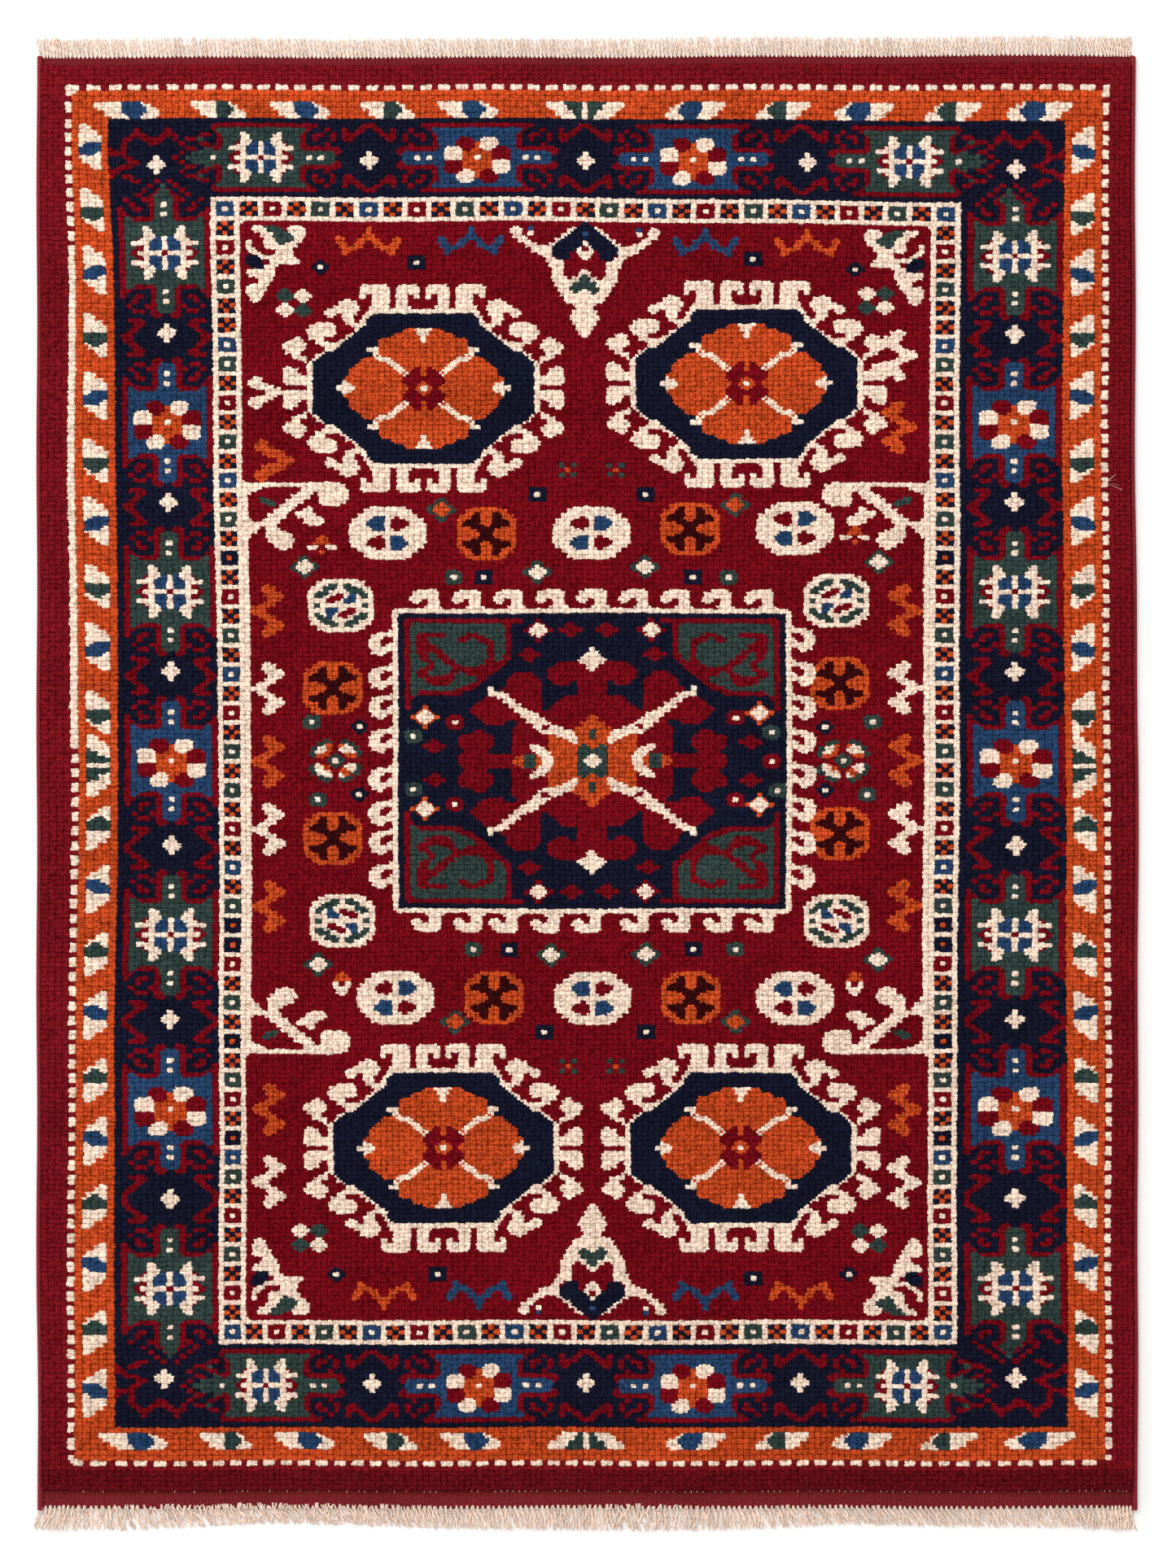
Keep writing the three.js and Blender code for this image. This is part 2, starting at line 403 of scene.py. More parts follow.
def mesh_from_arrays(name, points, faces_by_size):
    """A smooth mesh from points and from face arrays, one for each number of corners."""
    mesh = bpy.data.meshes.new(name)
    corners = np.concatenate([faces.ravel() for faces in faces_by_size])
    sizes = np.concatenate([np.full(len(faces), faces.shape[1]) for faces in faces_by_size])
    mesh.vertices.add(len(points))
    mesh.vertices.foreach_set("co", points.astype(np.float32).ravel())
    mesh.loops.add(len(corners))
    mesh.loops.foreach_set("vertex_index", corners.astype(np.int32))
    mesh.polygons.add(len(sizes))
    mesh.polygons.foreach_set("loop_start", np.concatenate([[0], np.cumsum(sizes)[:-1]]).astype(np.int32))
    mesh.polygons.foreach_set("loop_total", sizes.astype(np.int32))
    mesh.polygons.foreach_set("use_smooth", np.ones(len(sizes), bool))
    mesh.update(calc_edges=True)
    return mesh, corners


def attribute(mesh, name, domain, values):
    layer = mesh.attributes.new(name, "FLOAT", domain)
    layer.data.foreach_set("value", np.asarray(values, np.float32).ravel())


def tufts_of(letters):
    """Four tufts to a knot. A tuft takes the next yarn where that rounds off a corner of the design, but a
    knot of the navy ground stays whole, so that the thin lines on it stay thin, and so do an ivory stitch
    beside the wine-red border and a blue knot inside an ivory motif."""
    framed = np.pad(letters, 1, mode="edge")
    above, below = framed[:-2, 1:-1], framed[2:, 1:-1]
    left, right = framed[1:-1, :-2], framed[1:-1, 2:]
    tufts = letters.repeat(2, 0).repeat(2, 1)
    for down, (near_end, far_end) in enumerate(((above, below), (below, above))):
        for over, (near_side, far_side) in enumerate(((left, right), (right, left))):
            rounds = (near_end == near_side) & (near_side != far_end) & (near_end != far_side)
            stays = (letters == "N") | ((letters == "I") & (near_end == "W"))
            stays = stays | ((letters == "B") & (near_end == "I"))
            tufts[down::2, over::2] = np.where(rounds & ~stays, near_end, letters)
    return tufts


def pile(node, chosen, part="", rounded=True):
    """The knots of one section of pile, those where the mask is true, in the yarns of the plan."""
    tufts = tufts_of(plan) if rounded else plan.repeat(2, 0).repeat(2, 1)
    rows, columns = np.nonzero(chosen.repeat(2, 0).repeat(2, 1))
    yarns = np.array([YARN_LETTERS.index(letter) for letter in tufts[rows, columns]])
    rows = rows / 2 - 0.25 + TOP_ROW
    columns = columns / 2 - 0.25 + LEFT_COLUMN
    count = len(rows)
    left, right = woven(across(columns - 0.25), along(rows)), woven(across(columns + 0.25), along(rows))
    above, below = woven(across(columns), along(rows - 0.25)), woven(across(columns), along(rows + 0.25))
    pitch = np.stack([right[0] - left[0], above[1] - below[1]], 1)
    ivory = yarns == YARN_LETTERS.index("I")
    plump = ivory | (yarns == YARN_LETTERS.index("O"))
    lift = np.where(plump, 0.3 * MM, 0.0) + dice.normal(0, 0.2 * MM, count)
    swell = np.where(ivory, 1.05, 1.0) * dice.normal(1, 0.06, count)
    middle = np.stack(woven(across(columns), along(rows)), 1)
    lean = pitch * dice.normal(0, 0.13, (count, 2))
    root = middle[:, None] + TUFT_RING * (pitch * ROOT_HALF)[:, None]
    ring_shape = TUFT_RING + dice.normal(0, 0.17, (count, RING, 2))
    shoulder = (middle + lean * 0.6)[:, None] + ring_shape * (pitch * SHOULDER_HALF * swell[:, None])[:, None]
    top = (middle + lean)[:, None]
    drop = np.array([SHOULDER_DROP.get(letter, FINE_DROP) for letter in YARN_LETTERS])[yarns]
    outwards = np.stack([columns - np.round(columns), np.round(rows) - rows], 1)[:, None] * TUFT_RING > 0
    outwards = outwards.mean(2)  # 1 at the knot's own corner, 0 at its middle
    knot_rows = np.round(rows).astype(int) - TOP_ROW
    knot_columns = np.round(columns).astype(int) - LEFT_COLUMN
    knot_lift = dice.normal(0, 0.25 * MM, plan.shape)[knot_rows, knot_columns]
    lift = lift + knot_lift
    shoulder_z = (pile_z + lift)[:, None] - drop[:, None] * (0.3 + 0.7 * outwards)
    shoulder_z = shoulder_z + dice.normal(0, 0.14 * MM, (count, RING))
    z = np.concatenate([np.full((count, RING), ROOT_Z), shoulder_z, (pile_z + lift)[:, None]], 1)
    points = np.concatenate([np.concatenate([root, shoulder, top], 1), z[:, :, None]], 2).reshape(-1, 3)

    ring = np.arange(RING)
    after = (ring + 1) % RING
    sides = np.stack([ring, after, after + RING, ring + RING], 1)
    crown = np.stack([ring + RING, after + RING, np.full(RING, 2 * RING)], 1)
    start = (np.arange(count) * (2 * RING + 1))[:, None, None]
    faces = [(start + sides).reshape(-1, 4), (start + crown).reshape(-1, 3)]
    mesh, corners = mesh_from_arrays(f"{node}{part}", points, faces)
    mesh.polygons.foreach_set("material_index", np.tile(np.repeat(yarns, RING), 2).astype(np.int32))
    attribute(mesh, "tone", "FACE", np.tile(np.repeat(dice.random(count), RING), 2))
    # The height attribute sets the painted crease shade: none at a tuft's top, more at its shoulder, most at
    # its root.
    depth = np.concatenate([np.zeros((count, RING)), 0.85 - 0.85 * outwards, np.ones((count, 1))], 1)
    attribute(mesh, "height", "POINT", depth)

    # Every tuft bakes into its own square of the colour map, opened out round its top
    squares = math.ceil(math.sqrt(count))
    cell = np.stack([np.arange(count) % squares, np.arange(count) // squares], 1) + 0.5
    opened = np.concatenate([TUFT_RING * 0.46, TUFT_RING * 0.3, np.zeros((1, 2))])
    places = ((cell[:, None] + opened) / squares).reshape(-1, 2)
    mesh.uv_layers.new(name="OFBake").data.foreach_set("uv", places[corners].astype(np.float32).ravel())

    for material in WOOLS:
        mesh.materials.append(material)
    piece = in_scene(f"{node}{part}_knots", mesh)
    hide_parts(node)
    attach(piece, "root")
    SLOT_OF_YARN[YARN_LETTERS[np.bincount(yarns).argmax()]]


SLOT_OF_YARN = {
    "R": "wool_madder", "W": "wool_madder", "D": "wool_madder", "M": "wool_madder", "O": "wool_orange",
    "N": "wool_navy", "G": "wool_navy", "B": "wool_navy", "I": "wool_ivory",
}
plan_rows, plan_columns = np.mgrid[TOP_ROW : BOTTOM_ROW + 1, LEFT_COLUMN : RIGHT_COLUMN + 1]


def border_pile(name, columns, top_rows, bottom_rows, rounded=True):
    """The four sides of one border band. Each is given as its outermost and innermost knots."""
    width = abs(plan_columns) <= columns[0]
    between_ends = (plan_rows > top_rows[1]) & (plan_rows < bottom_rows[1])
    sides = between_ends & (abs(plan_columns) >= columns[1]) & width
    pile(f"pile_{name}_top", (plan_rows >= top_rows[0]) & (plan_rows <= top_rows[1]) & width, rounded=rounded)
    bottom_end = (plan_rows <= bottom_rows[0]) & (plan_rows >= bottom_rows[1]) & width
    pile(f"pile_{name}_bottom", bottom_end, rounded=rounded)
    pile(f"pile_{name}_left", sides & (plan_columns < 0), rounded=rounded)
    pile(f"pile_{name}_right", sides & (plan_columns > 0), rounded=rounded)


fill(-88, -145, 88, 147, "W")
fill(-88, 144, 88, 147, "D")
border_pile("outer", (88, 85), (-145, -142), (147, 143))

# ---------------------------------------------------------------------------------------------------------
# The guard border: orange pile, with ivory stitches marked out along its outer edge, and a row of slanting
# ivory lozenges round blue or green ones. The slant changes hand at the middle of each end.
fill(-84, -141, 84, 142, "O")
BLUE_LOZENGE = motif("""
    IIIIBBBI..
    .IIIBBBBII
    ..IIIBBIII
""")
SIDE_BLUE_LOZENGE = motif("""
    IIIIIBBI..
    .IIIBBBII.
    ..IIBBIIII
""")
GREEN_LOZENGE = motif("""
    IIIIGGI..
    .IIIGGGI.
    ..IIGGIII
""")
END_MIDDLE = motif("""
    IIIGGGIGGGIII
    .IIIGGIGGIII.
    ..IIIGIGIII..
""")
for column in range(-84, 85, 3):
    fill(column, -141, min(column + 1, 84), -141, "I")
    fill(column, 142, min(column + 1, 84), 142, "I")
    fill(min(column + 2, 84), -141, min(column + 2, 84), -141, "W")
    fill(min(column + 2, 84), 142, min(column + 2, 84), 142, "W")
for row in range(-141, 143, 3):
    fill(84, row, 84, min(row + 1, 142), "I")
    fill(84, min(row + 2, 142), 84, min(row + 2, 142), "W")
    fill(-84, row, -84, min(row + 1, 142), "I")
    fill(-84, min(row + 2, 142), -84, min(row + 2, 142), "I" if -109 < row < -6 else "W")
for step, column in enumerate((-75, -61, -47, -33, -19)):
    lozenge = BLUE_LOZENGE if step % 2 == 0 else GREEN_LOZENGE
    centred(column, -137, lozenge)
    centred(-column, -137, mirror(lozenge))
    centred(column, 138, lozenge)
    centred(-column, 138, mirror(lozenge))
centred(0, -137, END_MIDDLE)
centred(0, 138, flip(END_MIDDLE))
for step in range(10):
    lozenge = turn(GREEN_LOZENGE if step % 2 == 0 else SIDE_BLUE_LOZENGE)
    row = 12 + 13 * step
    centred(-81, -row, lozenge)
    centred(81, -row, mirror(lozenge))
    centred(-81, row, flip(lozenge))
    centred(81, row, mirror(flip(lozenge)))
centred(-81, -1, turn(END_MIDDLE))
centred(81, -1, turn(END_MIDDLE))
border_pile("guard", (84, 79), (-141, -136), (142, 136))

# ---------------------------------------------------------------------------------------------------------
# The main border: navy pile with small ivory flowers. Between each two stands a blue panel with a wheel of
# eight petals or a green one with a star, on a stem, between red scroll lines.
fill(-78, -135, 78, 135, "N")
PANEL_QUARTER = motif("""
    R.......
    RR......
    .RR.....
    ..RR....
    .RRR....
    .....RR.
    ..RR.RBB
    .R..RRBB
    ..R..RBI
    R.RR.RBB
    RR...RBI
    RBRRRRBB
    RBBBBBBB
    RBBBBBBB
    RBBBBBBB
    RBBBBBBB
    RBBBBBBB
    RBBBBBBB
    RBBBBBBB
""")
BLUE_PANEL = turn(four_way(PANEL_QUARTER))
GREEN_PANEL = dye(BLUE_PANEL, "B", "G")
WHEEL = motif("""
    ...........
    ..RRR.III..
    ..RRROIII..
    IIIRROIIRRR
    IIIOOOOORRR
    IIIOOIOORRR
    RRROOOOOIII
    RRROOOOOIII
    RRRIIORRIII
    ..IIIORRR..
    ..III.RRR..
""")
STAR = four_way(motif("""
    ..I...
    ..II..
    .RIIBI
    IIIBBI
    .RIBBI
    RIIIIR
"""))
DIAMOND = motif(".I. III III .I.")
for column, panel in ((-54, GREEN_PANEL), (-18, BLUE_PANEL), (18, BLUE_PANEL), (54, GREEN_PANEL)):
    for row in (-127, 127):
        centred(column, row, panel)
        centred(column, row, STAR if panel is GREEN_PANEL else WHEEL)
for row in (-107, -72, -37, -2, 34, 70, 107):
    for column in (-70, 71):
        panel = BLUE_PANEL if row in (-72, -2, 70) else GREEN_PANEL
        centred(column, row, turn(panel))
        centred(column, row, STAR if panel is GREEN_PANEL else WHEEL)
scatter(DIAMOND, (0, -126), (-36, -126), (37, -126))
scatter(DIAMOND, (0, 127), (-36, 127), (36, 127))
for row in (-90, -55, -20, 16, 52, 89):
    scatter(DIAMOND, (-70, row), (71, row))
CORNER_BLOCK = motif("""
    NNNNNNNNNNNNNNNN
    NNNNNNNNNNNNNNNN
    NNNNRNNNNRNNNNNN
    NNNRRRNNRRRNNNRR
    NNRRNRRRRNRNRRGN
    NNRNNNRRNNNRNNRR
    RNRNNNNNNNNNRRNG
    RRRNNNNNNNNRNGGG
    NNRRNNNINNRNGGGG
    NNNRRNIIINNRNGGG
    NRRRNNIIINNNRRNG
    RRNNNNNINNNRNNRR
    RNRRNNNNNNNNRRGN
    NNNRRNNRNRNNNNRR
    NNNNNNRNGNRNNNNN
    NNNNNRNRGRNRNNNN
    NNNNRNRGGGRNRNNN
""")
stitch(-78, -135, CORNER_BLOCK)
stitch(63, -135, mirror(CORNER_BLOCK))
stitch(-78, 119, flip(CORNER_BLOCK))
stitch(63, 119, mirror(flip(CORNER_BLOCK)))
border_pile("main_border", (78, 63), (-135, -119), (135, 119))

# ---------------------------------------------------------------------------------------------------------
# The inner guard: a narrow ivory border of small squares. About every second one is a navy and orange
# check, and the others are rings: blue, red or green round an ivory knot, or navy round an orange one.
fill(-62, -118, 62, 118, "I")
CHECK = motif("NON ONO NON")
RINGS = {
    "B": motif("BBB BIB BBB"),
    "R": motif("RRR RIR RRR"),
    "G": motif("GGG GIG GGG"),
    "N": motif("NNN NON NNN"),
}
RINGS["c"] = CHECK
LEFT_RINGS = "BcRcGccBGcRcGcBcGcNcRcGcBcRcGcGcRcBcGNNRcGcNcGRcNBGcRcGcRcB"
END_RINGS = "BRG"
for step, kind in enumerate(LEFT_RINGS):
    centred(-60, -116 + 4 * step, RINGS[kind])
    centred(60, -116 + 4 * step, RINGS[kind])
for step in range(31):
    ring = CHECK if step % 2 else RINGS[END_RINGS[step // 2 % 3]]
    centred(-60 + 4 * step, -116, ring)
    centred(-60 + 4 * step, 116, ring)
border_pile("inner_guard", (62, 58), (-118, -114), (118, 114), rounded=False)

# ---------------------------------------------------------------------------------------------------------
# The field: madder-red pile with scattered small motifs, hooked brackets and arrowheads in ivory, tied in
# three stretches, with the medallions let in.
fill(-57, -113, 57, 113, "R")
fill(-57, -59, -57, 58, "I")
fill(57, -59, 57, 58, "I")

# Arrowheads at the middle of each end, and their side hooks
ARROW_HALF = motif("""
    ............N
    ..........INN
    .........INNB
    ........INNNN
    .......INNNNI
    ......INNNNIR
    .....IINNN.II
    ......I.NN..I
    ......III....
    .......II....
    .......II...I
    .......II..IG
    .......IIIIGG
    ........IIGGG
    ........IIGGI
    .........IIII
    .........IIII
    ...........II
    ...........II
    ..........III
    ..........III
    ...........II
    ...........II
    ............I
""")
ARROW = [row + row[-2::-1] for row in ARROW_HALF]
ARROW_HOOK = motif("""
    II.B...
    II.I...
    .II....
    ..II...
    ...III.
    ....III
""")
centred(0, -101, ARROW)
stitch(-12, -112, ARROW_HOOK)
stitch(6, -112, mirror(ARROW_HOOK))
centred(1, 102, flip(ARROW))
stitch(-11, 107, flip(ARROW_HOOK))
stitch(7, 107, mirror(flip(ARROW_HOOK)))

# A leafy corner piece in each corner of the field
CORNER = motif("""
    ..IIGGG.III
    ...IIGGGIII
    ....IIGGGII
    .IR.IIGGII.
    .IR.IIIII..
    ..IRR.III..
    .NNIIIIII..
    .NNN.IIIII.
    ..NNII.....
    .IIIII.....
    ..IIII.....
    ...II......
    .IIII......
    .III.......
    .III.......
    ..I........
""")
stitch(-57, -112, CORNER)
stitch(47, -112, mirror(CORNER))
stitch(-57, 97, flip(CORNER))
stitch(47, 97, mirror(flip(CORNER)))

# Crowns beside the arrowheads
CROWN = motif("""
    .....B.....
    .....B.....
    B...BBB...B
    BB.BB.BB.BB
    .BBB...BBB.
    .B.......B.
""")
centred(-36, -109, dye(CROWN, "B", "O"))
centred(-19, -109, CROWN)
centred(20, -109, CROWN)
centred(37, -109, dye(CROWN, "B", "O"))
centred(-34, 109, flip(dye(CROWN, "B", "O")))
centred(-18, 109, flip(CROWN))
centred(20, 109, flip(CROWN))
centred(36, 109, flip(dye(CROWN, "B", "O")))

# Zigzags along the sides, points towards the guard
ZIGZAG = motif("""
    ..II..
    .III..
    III...
    .II...
    ..III.
    ...III
    ..III.
    .II...
    III...
    .III..
    ..II..
""")
ZIGZAG_ORANGE = dye(ZIGZAG, "I", "O")
for row in (-22, 7, 80):
    stitch(51, row, ZIGZAG)
    stitch(-56, row, mirror(ZIGZAG))
for row in (-38, -7, 23, 65):
    stitch(51, row, ZIGZAG_ORANGE)
    stitch(-56, row, mirror(ZIGZAG_ORANGE))
stitch(50, -91, ZIGZAG)
stitch(50, -76, ZIGZAG_ORANGE)
stroke("O", 2.0, (-54, -67), (-50, -64), (-54, -61))
stroke("I", 2.0, (-55, -80), (-52, -78), (-55, -76))

# Hooked brackets where the middle of the field widens
BRACKET = motif("""
    IIIIIIIIIIIIIIIII.
    III.......IIIIIIII
    I........III.IIIII
    I..GG...III..IIIII
    I...GG.III...IIII.
    I.....III..I......
    I....III.III......
    I...III...IIII....
    IIIIII.....III....
    III.II............
    II..IIII..........
    I...IIIII.........
    I....IIII.........
    I.....II..........
""")
stitch(-57, -59, BRACKET)
stitch(40, -59, mirror(BRACKET))
stitch(-57, 45, flip(BRACKET))
stitch(40, 45, mirror(flip(BRACKET)))

# Small flowers, dots and rosettes
scatter(motif("..O.. .OOO. II.II ..O.."), (-44, -46), (45, -48))
scatter(motif("..O.. .OOO. .IRI. .III. ..I.."), (-41, 44), (45, 44))
LEAF_DIAMOND = motif("..G.. .GIG. GIIIG .GIG. ..G..")
scatter(LEAF_DIAMOND, (-47, -42), (-45, 40), (49, -43), (-8, -41), (10, -42), (-6, 38), (10, 38), (49, 39))
SPECKLED = motif("""
    ..IIIIIII..
    .IIGGIGGII.
    IIGGIIIGGII
    IGGIRRIBIGI
    IIIRRIBBIII
    IGIIIIIIIGI
    IIIBBIRRIII
    IGIBIRRIGGI
    IIGGIIIGGII
    .IIGGIGGII.
    ..IIIIIII..
""")
scatter(SPECKLED, (-41, -34), (42, -35))
scatter(flip(SPECKLED), (-41, 31), (42, 31))
ORANGE_ROSETTE = motif("""
    ..OOOOOO..
    .OOMOOMOO.
    OOMMOOMMOO
    OMMMOOMMMO
    OOOMMMMOOO
    OOOOMMOOOO
    OOOMMMMOOO
    OMMMOOMMMO
    OOMMOOMMOO
    .OOMOOMOO.
    ..OOOOOO..
""")
scatter(ORANGE_ROSETTE, (-42, -17), (-42, 14), (43, -18), (43, 13))
scatter(ORANGE_ROSETTE, (-16, -49), (18, -50), (-15, 47), (18, 47))
GREEN_FLOWER = motif("""
    ..GG.GG..
    .GIO.OIG.
    GIIO.IIIG
    GOO.G.OOG
    ...GIG...
    GIO.G.IIG
    GIIO.OOIG
    .GII.IOG.
    ..GG.GG..
""")
scatter(GREEN_FLOWER, (-42, -2), (43, -2))
GREEN_DOT = motif("GGG GIG GGG")
NAVY_DOT = motif("NNN NIN NNN")
NAVY_DIAMOND = motif(".N. NIN .N.")
scatter(GREEN_DOT, (-46, -10), (-45, 6), (-22, -40), (24, -40), (48, -10), (47, 5), (-19, 37), (25, 37))
scatter(NAVY_DIAMOND, (-38, -9), (-38, 5), (40, -9), (40, 4), (-44, -104), (45, -104), (-42, 104), (44, 104))
scatter(NAVY_DOT, (-8, -57), (10, -57), (-17, -40), (18, -40), (-28, -105), (28, -106), (-25, 104), (28, 105))
scatter(NAVY_DOT, (-7, 54), (10, 54), (-13, 37), (18, 37))
OVAL = motif("""
    ...IIIIIII...
    ..IIIIIIIII..
    .IIIBBIRRIII.
    IIIBBBIRRRIII
    IIIIBBIRRIIII
    IIIIIIIIIIIII
    IIIIRRIBBIIII
    IIIRRRIBBBIII
    .IIIRRIBBIII.
    ..IIIIIIIII..
    ...IIIIIII...
""")
scatter(OVAL, (-33, -49))
scatter(mirror(OVAL), (1, -49), (35, -50))
scatter(OVAL, (1, 47), (35, 47))
scatter(mirror(OVAL), (-32, 47))
ORANGE_DIAMOND = motif("..G.. .GOG. GOOOG .GOG. ..G..")
scatter(ORANGE_DIAMOND, (-24, -54), (25, -55), (-22, 52), (25, 52))
scatter(motif("G.G .O. G.G"), (-3, -62), (5, -62), (-3, 61), (5, 61))
FOUR_DOTS = motif("""
    .G..I.
    GGGIII
    .G..I.
    .I..G.
    IIIGGG
    .I..G.
""")
scatter(FOUR_DOTS, (-48, -96), (48, 97))
scatter(mirror(FOUR_DOTS), (49, -97), (-46, 97))

# ---------------------------------------------------------------------------------------------------------
# The medallions: four octagons ringed with ivory hooks, and a navy square with hooks along all its sides,
# green corner pieces and a lobed red and orange medallion at its heart.
OCTAGONS = {
    "upper_left": (-27, -79),
    "upper_right": (27, -80),
    "lower_left": (-24, 78),
    "lower_right": (26, 78),
}
OCTAGON_QUARTER = motif("""
    .............IIII.IIII.
    .............IIII.IIII.
    .............I.II.II.I.
    ..........II...II.II...
    .........IIII..II.II...
    ........IIIII.IIIIIIIII
    ........I.II..INNNNNNNN
    ..........II.INNNNNNNNN
    ......III..IIINNNNNNNNN
    .....IIII...INNNNNNOOII
    .....IIII..INNNNNOOOOOI
    ..I...II..INNNNNOOOOOOI
    IIIII..IIINNNNNNOOOOOOO
    IIII....INNNNNIIOOOOOOO
    .II....INNNNNNNIOOOOOOO
    ..II..INNNNNNOOOIOOOOOO
    ....IINNNNNNOOOOOIOOOOO
    II...INNNNNOOOOOOOIOORO
    III..INNNNNOOOOOOOOIRRO
    IIIIIINNNNOOOOOOOOORRRR
    IIIIIINNNNIOOOOOOOORRRO
    .....INNNIIIOOOOOOOOROI
""")
OCTAGON_QUARTER = [row[:4] + row[5:9] + row[8:17] + row[16:] for row in OCTAGON_QUARTER]
for place in OCTAGONS.values():
    centred(*place, four_way(OCTAGON_QUARTER))

SQUARE_MIDDLE = (1, -2)
SQUARE_HALF = (33, 31)
fill(-32, -33, 34, 29, "I")
fill(-31, -32, 33, 28, "N")
HEART_QUARTER = motif("""
    ......................I
    .....................II
    ....................III
    ................RRRRRII
    ...............RRRRRRRI
    .........RRRR..RRRRRRRR
    ........RRRRRR.RRRRRRRR
    ........RRRRRR..RRR.RRR
    .......RRRRRRR......RRR
    .....IIRRRRRRR......RRR
    ....RRRIRRRRRR...RRRRRR
    ...RRRRRIRRRRR..RRRRRRR
    ..RRRRRRRIRRRR.RRRRRRRR
    ..RRRRRRRRIRRRRRRRRRRRR
    ...RRRRRRRRIRRRRRRRRRRO
    ....RRRR..RRIRRRRRRRROO
    .........RRRRIRRRRRROOO
    ..RRR....RRRRRIIIIIOOOG
    RRRRRR...RRRRRROOOIIOOG
    RRRRRR...RRRRRROOOOIOOO
    RRRRRR...RRRIIROOOOOGGO
    .RRRR....RRRRIIOOOOOGGG
    RRRRRRRRRROGGOIIOOOOGGI
    RRRRRRRRROOGGOIIOOOOGII
""")
GREEN_CORNER = motif("""
    RRRRRRRRRRRRRRRRRRRR
    RGGGGGGGGGGGGGGGGR..
    RGGGGGGGGGGGGGGGGR..
    RGGGGGGGGGGGGGGGGR..
    RGGGGGGGGGGGGGGGGR..
    RGGGGGGGGGGGGGGGGR..
    RGGGGGGGGGGGGGGGGR..
    RGGGGGGGGGGGGGGGGR..
    RGGGGGGGGGGGGGGGRR..
    RGGGGGGGGGGGGGGRR...
    RGGGGGGGGGGGGGRR....
    RGGGGGGGGGGGGRR.....
    RGGGGGGGGGGGRR......
    RGGGGGGGGGGRR.......
    RGGGGGGGGRRR........
    RGRRRRRRRR..........
    RR..................
    R...................
    R...................
""")
ARROW_SCROLL = (
    (-27.3, -26.6), (-21.5, -20.8), (-18, -20.2), (-15.8, -23), (-16.2, -26.5), (-18.5, -28), (-21, -27),
)
ARROW_HEAD = ((-27.4, -23.5), (-27.4, -28), (-24, -28))
LOWER_SCROLL = ((-22, -20.5), (-23, -18.6), (-26, -18.3), (-27.6, -20), (-26.3, -21.5))
centred(*SQUARE_MIDDLE, four_way(HEART_QUARTER))
for across_sign in (-1, 1):
    for along_sign in (-1, 1):
        ends = [(1 + across_sign * reach, -2 + along_sign * drop) for reach, drop in ((17, 15), (5, 5.5))]
        stroke("I", 1.15, *ends)
stitch(-30, -31, GREEN_CORNER)
stitch(13, -31, mirror(GREEN_CORNER))
stitch(-30, 9, flip(GREEN_CORNER))
stitch(13, 9, mirror(flip(GREEN_CORNER)))
for side in (-1, 1):
    for end in (-1, 1):
        for scroll in (ARROW_SCROLL, ARROW_HEAD, LOWER_SCROLL):
            corners = [(1 - side * (column - 1), -2 - end * (row + 2)) for column, row in scroll]
            stroke("R", 1.35, *corners)
scatter(motif("..R.. .RIR. RIIIR .RIR. ..R.."), (-8, -29), (11, -29), (-8, 25), (10, 25))
RED_DIAMOND = motif(".RR. RRRR .RR.")
scatter(RED_DIAMOND, (-2, -29), (4, -29), (-9, -24), (12, -24), (-9, 20), (11, 20), (-2, 25), (4, 25))
scatter(RED_DIAMOND, (-25, -5), (-25, 2), (28, -6), (28, 2))
scatter(motif("..O.. .OIO. OIIIO .OIO. ..O.."), (-27, -11), (-27, 8), (29, -12), (29, 7))
scatter(motif("RRR RIR RRR"), (-22, -10), (-22, 7), (25, -11), (25, 6), (31, -2))
scatter(GREEN_DOT, (-29, -7), (-29, 4), (31, -8), (32, 4))
TOP_HOOK = motif(".IIII IIIII II.II ...II")
for left in (-29, -22, -15, -8, -1, 6, 13, 20, 27):
    stitch(left, -37, TOP_HOOK)
for left in (-29, -22, -16, -9, -2, 6, 13, 20, 27):
    stitch(left, 30, flip(TOP_HOOK))
SIDE_HOOK = motif(".III II.. II.I IIII .II.")
for top in (-28, -21, -15, -8, 0, 7, 13, 20):
    stitch(-36, top, SIDE_HOOK)
for top in (-29, -22, -15, -8, -1, 6, 13, 20):
    stitch(35, top, mirror(SIDE_HOOK))

OCTAGON_HALF = (18.5, 16.5)  # knots from a medallion's middle to its sides
OCTAGON_FLAT = (7.5, 6.5)  # half the straight stretch of each
in_field = (abs(plan_columns) <= 57) & (abs(plan_rows) <= 113)
for name, (column, row) in OCTAGONS.items():
    dc, dr = abs(plan_columns - column), abs(plan_rows - row)
    slant = (dc - OCTAGON_FLAT[0]) / (OCTAGON_HALF[0] - OCTAGON_FLAT[0])
    slant = slant + (dr - OCTAGON_FLAT[1]) / (OCTAGON_HALF[1] - OCTAGON_FLAT[1])
    inside = (dc < OCTAGON_HALF[0]) & (dr < OCTAGON_HALF[1]) & (slant <= 1)
    pile(f"pile_octagon_{name}", inside)
    in_field = in_field & ~inside
inside = abs(plan_columns - SQUARE_MIDDLE[0]) <= SQUARE_HALF[0]
inside = inside & (abs(plan_rows - SQUARE_MIDDLE[1]) <= SQUARE_HALF[1])
in_field = in_field & ~inside
UPPER_ROWS, MIDDLE_ROWS = 55, 115
middle_starts, lower_starts = -113 + UPPER_ROWS, -113 + UPPER_ROWS + MIDDLE_ROWS
in_upper, in_lower = plan_rows < middle_starts, plan_rows >= lower_starts
in_middle_top = ~in_upper & (plan_rows < SQUARE_MIDDLE[1])
in_middle_bottom = ~in_lower & (plan_rows >= SQUARE_MIDDLE[1])
